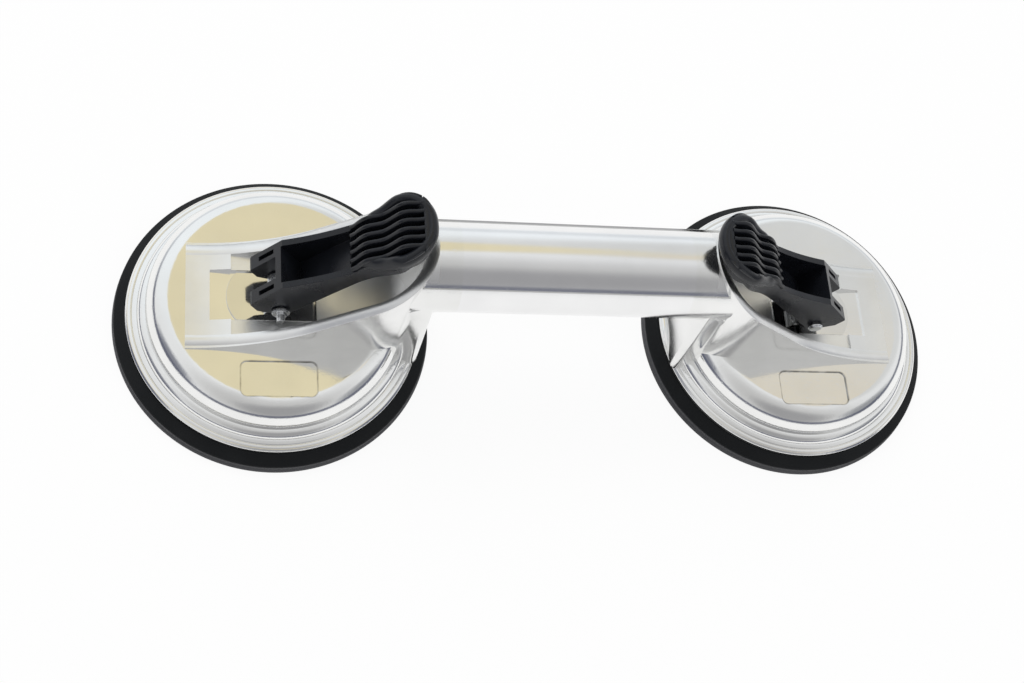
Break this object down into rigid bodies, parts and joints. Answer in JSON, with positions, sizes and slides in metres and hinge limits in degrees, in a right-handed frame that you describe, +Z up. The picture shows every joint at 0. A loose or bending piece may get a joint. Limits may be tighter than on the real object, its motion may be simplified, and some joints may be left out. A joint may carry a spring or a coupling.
{
  "type": "double suction lifter",
  "caption": "Two round rubber suction cups under domed metal dishes, joined by a round handle between raised lever hoods; a cam lever on each cup pulls its pad up to hold floor tiles.",
  "frame": {"origin": "on the floor under the cups' rims, midway between the two cups", "axes": "+X along the handle from the left cup to the right cup, +Z up, Y across the handle"},
  "size_m": [0.331, 0.121, 0.0884],
  "materials": {
    "aluminium": "polished die casting",
    "bright_steel": "mirror polished sheet",
    "steel": "zinc plated",
    "black_plastic": "moulded, slightly glossy",
    "rubber": "matt"
  },
  "bodies": {
    "frame": {"handle": "aluminium", "dish_left": "aluminium", "hood_left": "aluminium", "wear_plate_left": "bright_steel", "return_spring_left": "steel", "pad_left": "rubber", "dish_right": "aluminium", "hood_right": "aluminium", "wear_plate_right": "bright_steel", "return_spring_right": "steel", "pad_right": "rubber"},
    "stud_left": {"pull_stud_left": "steel", "pivot_pin_left": "steel", "pin_washer_left": "steel", "insert_plate_left": "steel"},
    "lever_left": {"cam_lever_left": "black_plastic"},
    "stud_right": {"pull_stud_right": "steel", "pivot_pin_right": "steel", "pin_washer_right": "steel", "insert_plate_right": "steel"},
    "lever_right": {"cam_lever_right": "black_plastic"}
  },
  "joints": [
    {"name": "stud_lift_left", "type": "slide", "parent": "frame", "child": "stud_left", "axis": [0, 0, 1], "range_m": [-0.00026, 0.00382], "deforming": ["return_spring_left"]},
    {"name": "lever_swing_left", "type": "hinge", "parent": "stud_left", "child": "lever_left", "pos_m": [-0.105, 0, 0.03398], "axis": [0, -1, 0], "range_deg": [-8.5, 125]},
    {"name": "stud_lift_right", "type": "slide", "parent": "frame", "child": "stud_right", "axis": [0, 0, 1], "range_m": [-0.00008, 0.004], "deforming": ["return_spring_right"]},
    {"name": "lever_swing_right", "type": "hinge", "parent": "stud_right", "child": "lever_right", "pos_m": [0.105, 0, 0.0338], "axis": [0, 1, 0], "range_deg": [-2.5, 131]}
  ],
  "couplings": [
    {"joint": "stud_lift_left", "follows": "lever_swing_left", "m_per_rad": 0.0017495},
    {"joint": "stud_lift_right", "follows": "lever_swing_right", "m_per_rad": 0.0017495}
  ]
}
